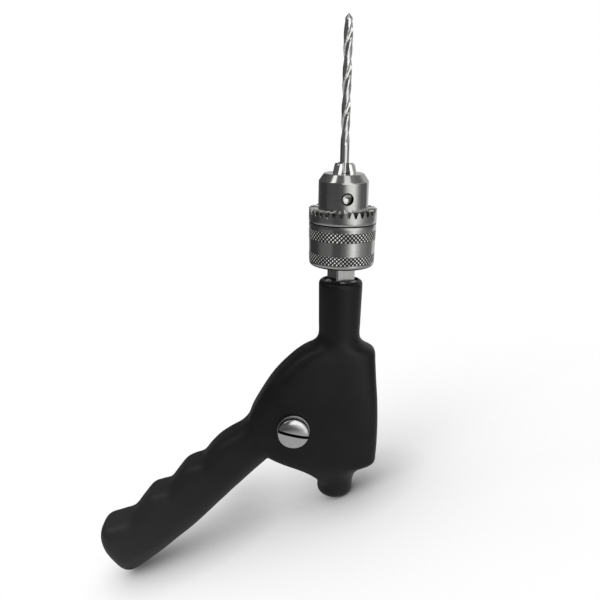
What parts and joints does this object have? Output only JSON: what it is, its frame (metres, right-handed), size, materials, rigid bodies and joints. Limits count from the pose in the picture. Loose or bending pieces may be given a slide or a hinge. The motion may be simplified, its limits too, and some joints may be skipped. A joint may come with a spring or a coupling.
{
  "type": "orthopedic hand drill",
  "caption": "Hand-cranked bone drill: keyed jaw chuck with twist bit, black body with swept finger grip, coin-slotted axle screw and side crank.",
  "frame": {"origin": "on the spindle axis in the plane of the chuck's nose", "axes": "+Z along the spindle towards the bit, +X away from the grip, +Y towards the crank side"},
  "size_m": [0.1321, 0.0654, 0.26],
  "materials": {
    "black_body": "satin black moulded body",
    "black_knob": "turned black knob",
    "chuck_steel": "fine turned steel",
    "bit_steel": "bright ground steel",
    "spindle_steel": "ground steel",
    "bush_steel": "turned steel",
    "bronze": "sintered bronze",
    "cover_steel": "turned steel",
    "screw_chrome": "polished chrome",
    "crank_steel": "polished steel"
  },
  "bodies": {
    "body": {"drill_body": "black_body", "gear_cover": "cover_steel", "front_bush": "bush_steel", "rear_bush": "bronze", "thrust_pad": "spindle_steel", "near_bush": "bronze", "far_bush": "bronze"},
    "crank": {"crank_axle": "spindle_steel", "drive_gear": "spindle_steel", "gear_key": "spindle_steel", "axle_washer": "screw_chrome", "axle_screw": "screw_chrome", "crank_arm": "crank_steel", "crank_washer": "screw_chrome", "crank_screw": "screw_chrome", "knob_pin": "crank_steel"},
    "knob": {"crank_knob": "black_knob"},
    "spindle": {"spindle": "spindle_steel", "pinion": "spindle_steel", "pinion_pin": "spindle_steel", "spacer_tube": "spindle_steel", "thrust_ball": "spindle_steel", "chuck_body": "chuck_steel"},
    "sleeve": {"chuck_sleeve": "chuck_steel", "jaw_nut": "chuck_steel"},
    "jaw_1": {"jaw_1": "chuck_steel"},
    "jaw_2": {"jaw_2": "chuck_steel"},
    "jaw_3": {"jaw_3": "chuck_steel"},
    "bit": {"drill_bit": "bit_steel"}
  },
  "joints": [
    {"name": "crank_turn", "type": "hinge", "parent": "body", "child": "crank", "pos_m": [-0.02, 0, -0.114], "axis": [0, -1, 0], "continuous": true},
    {"name": "spindle_turn", "type": "hinge", "parent": "body", "child": "spindle", "pos_m": [0, 0, -0.05], "axis": [0, 0, 1], "continuous": true},
    {"name": "knob_spin", "type": "hinge", "parent": "crank", "child": "knob", "pos_m": [-0.05733, 0.033, -0.15575], "axis": [0, 1, 0], "continuous": true},
    {"name": "sleeve_turn", "type": "hinge", "parent": "spindle", "child": "sleeve", "pos_m": [0, 0, -0.025], "axis": [0, 0, 1], "range_deg": [0, 1483]},
    {"name": "jaw_1_slide", "type": "slide", "parent": "spindle", "child": "jaw_1", "axis": [0.2219, -0.0965, -0.9703], "range_m": [0, 0.00517]},
    {"name": "jaw_2_slide", "type": "slide", "parent": "spindle", "child": "jaw_2", "axis": [-0.0274, 0.2404, -0.9703], "range_m": [0, 0.00517]},
    {"name": "jaw_3_slide", "type": "slide", "parent": "spindle", "child": "jaw_3", "axis": [-0.1945, -0.1439, -0.9703], "range_m": [0, 0.00517]},
    {"name": "bit_draw", "type": "slide", "parent": "spindle", "child": "bit", "axis": [0, 0, 1], "range_m": [0, 0.026]}
  ],
  "couplings": [
    {"joint": "spindle_turn", "follows": "crank_turn", "ratio": 3},
    {"joint": "jaw_1_slide", "follows": "sleeve_turn", "m_per_rad": 0.00019894},
    {"joint": "jaw_2_slide", "follows": "sleeve_turn", "m_per_rad": 0.00019894},
    {"joint": "jaw_3_slide", "follows": "sleeve_turn", "m_per_rad": 0.00019894}
  ]
}
